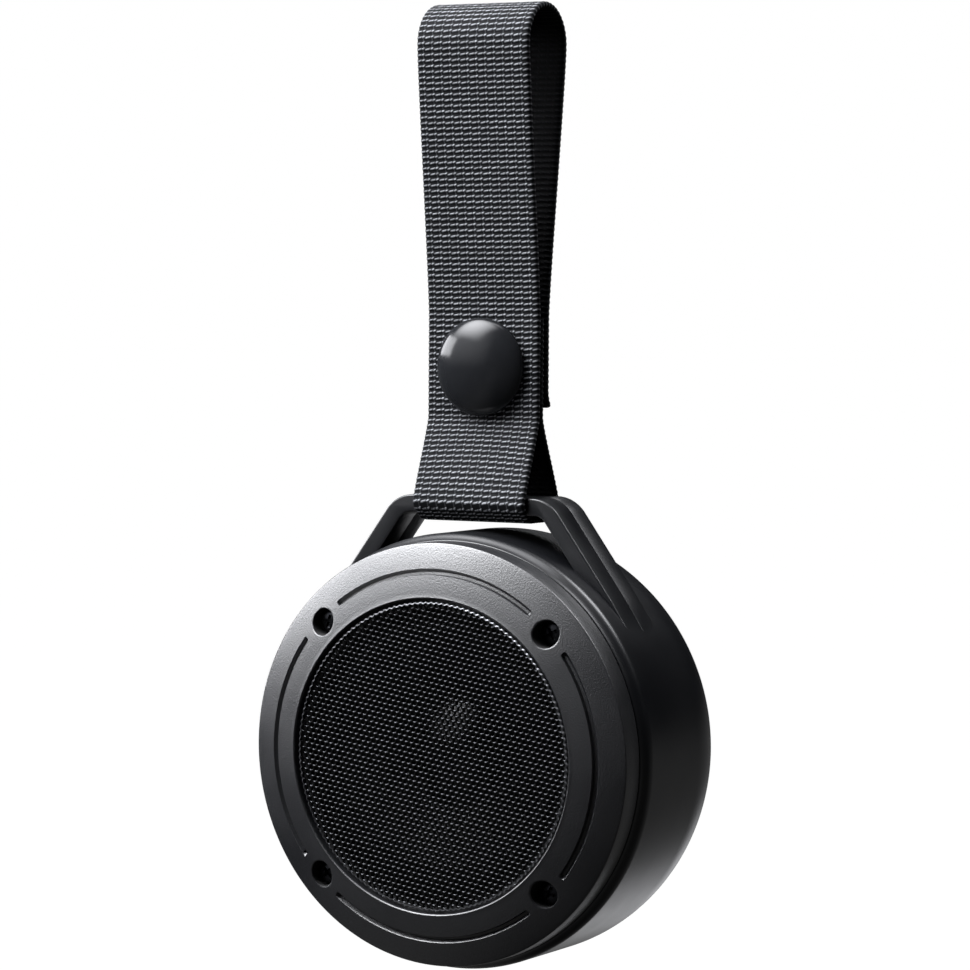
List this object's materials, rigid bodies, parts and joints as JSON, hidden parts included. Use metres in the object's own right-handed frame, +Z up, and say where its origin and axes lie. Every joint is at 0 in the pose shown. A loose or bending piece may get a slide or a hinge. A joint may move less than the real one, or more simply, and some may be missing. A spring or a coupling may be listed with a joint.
{
  "type": "hanging shower speaker",
  "caption": "Round waterproof shower speaker with a screwed front bezel, perforated grille and rear keys, hung from a moulded handle by a webbing strap that a snap closes into a loop.",
  "frame": {"origin": "inside of the top of the strap's hanging loop, where a hook or rail carries it", "axes": "+Z up along the hanging strap, +Y out of the speaker's back, +X to the right seen from the front"},
  "size_m": [0.0852, 0.0537, 0.1884],
  "materials": {
    "moulded_plastic": "satin black, finely textured",
    "key_plastic": "satin dark grey",
    "rubber": "matt black",
    "webbing": "ribbed black webbing",
    "black_metal": "semi-gloss black",
    "plated_steel": "dull plated",
    "copper_winding": "lacquered wire",
    "cone_plastic": "matt black",
    "woven_spider": "resin-stiffened cloth",
    "circuit_board": "green lacquer",
    "fibre_board": "pressed board",
    "switch_plastic": "moulded",
    "cell_foil": "foil pouch",
    "foam_pad": "foam tape",
    "red_lead": "insulated wire",
    "black_lead": "insulated wire"
  },
  "bodies": {
    "strap": {"strap_loop": "webbing", "strap_end_tab": "webbing", "snap_cap": "black_metal", "snap_socket": "plated_steel"},
    "strap_flap": {"strap_flap": "webbing", "snap_stud": "plated_steel", "snap_rivet": "plated_steel"},
    "speaker": {"battery_cell": "cell_foil", "battery_lead_black": "black_lead", "battery_lead_red": "red_lead", "battery_pad": "foam_pad", "bezel_screw_1": "plated_steel", "bezel_screw_2": "plated_steel", "bezel_screw_3": "plated_steel", "bezel_screw_4": "plated_steel", "bezel_seal": "rubber", "board_screw_1": "plated_steel", "board_screw_2": "plated_steel", "board_screw_3": "plated_steel", "board_screw_4": "plated_steel", "charging_socket": "plated_steel", "driver_basket": "black_metal", "driver_gasket": "rubber", "front_bezel": "moulded_plastic", "grille": "black_metal", "housing": "moulded_plastic", "key_mat": "rubber", "key_switch_1": "switch_plastic", "key_switch_2": "switch_plastic", "key_switch_3": "switch_plastic", "key_switch_4": "switch_plastic", "magnet": "plated_steel", "magnet_cup": "plated_steel", "main_board": "circuit_board", "microphone": "plated_steel", "microphone_lead": "black_lead", "pole_disc": "plated_steel", "radio_shield": "plated_steel", "speaker_lead_black": "black_lead", "speaker_lead_red": "red_lead", "spider": "woven_spider", "strap_bar_loop": "webbing", "surround": "rubber", "terminal_strip": "fibre_board"},
    "cone": {"cone": "cone_plastic", "dust_cap": "cone_plastic", "voice_coil": "copper_winding"},
    "call_key": {"call_key": "key_plastic"},
    "volume_up_key": {"volume_up_key": "key_plastic"},
    "power_key": {"power_key": "key_plastic"},
    "volume_down_key": {"volume_down_key": "key_plastic"},
    "port_cover": {"port_cover": "rubber"}
  },
  "joints": [
    {"name": "strap_bend", "type": "hinge", "parent": "strap", "child": "speaker", "pos_m": [0, 0, -0.0826], "axis": [1, 0, 0], "range_deg": [-75, 75], "deforming": ["strap_bar_loop"]},
    {"name": "flap_open", "type": "hinge", "parent": "strap", "child": "strap_flap", "pos_m": [0, 0.0089, -0.0069], "axis": [1, 0, 0], "range_deg": [0, 110]},
    {"name": "port_cover_hinge", "type": "hinge", "parent": "speaker", "child": "port_cover", "pos_m": [0, 0.03115, -0.1605], "axis": [1, 0, 0], "range_deg": [0, 100], "stiffness_Nm_per_rad": 0.0006},
    {"name": "cone_travel", "type": "slide", "parent": "speaker", "child": "cone", "axis": [0, 1, 0], "range_m": [-0.001, 0.001], "stiffness_N_per_m": 1200, "deforming": ["surround", "spider"]},
    {"name": "call_key_press", "type": "slide", "parent": "speaker", "child": "call_key", "axis": [0, -1, 0], "range_m": [0, 0.0005], "stiffness_N_per_m": 3000, "deforming": ["key_mat"]},
    {"name": "volume_up_key_press", "type": "slide", "parent": "speaker", "child": "volume_up_key", "axis": [0, -1, 0], "range_m": [0, 0.0005], "stiffness_N_per_m": 3000, "deforming": ["key_mat"]},
    {"name": "power_key_press", "type": "slide", "parent": "speaker", "child": "power_key", "axis": [0, -1, 0], "range_m": [0, 0.0005], "stiffness_N_per_m": 3000, "deforming": ["key_mat"]},
    {"name": "volume_down_key_press", "type": "slide", "parent": "speaker", "child": "volume_down_key", "axis": [0, -1, 0], "range_m": [0, 0.0005], "stiffness_N_per_m": 3000, "deforming": ["key_mat"]}
  ]
}
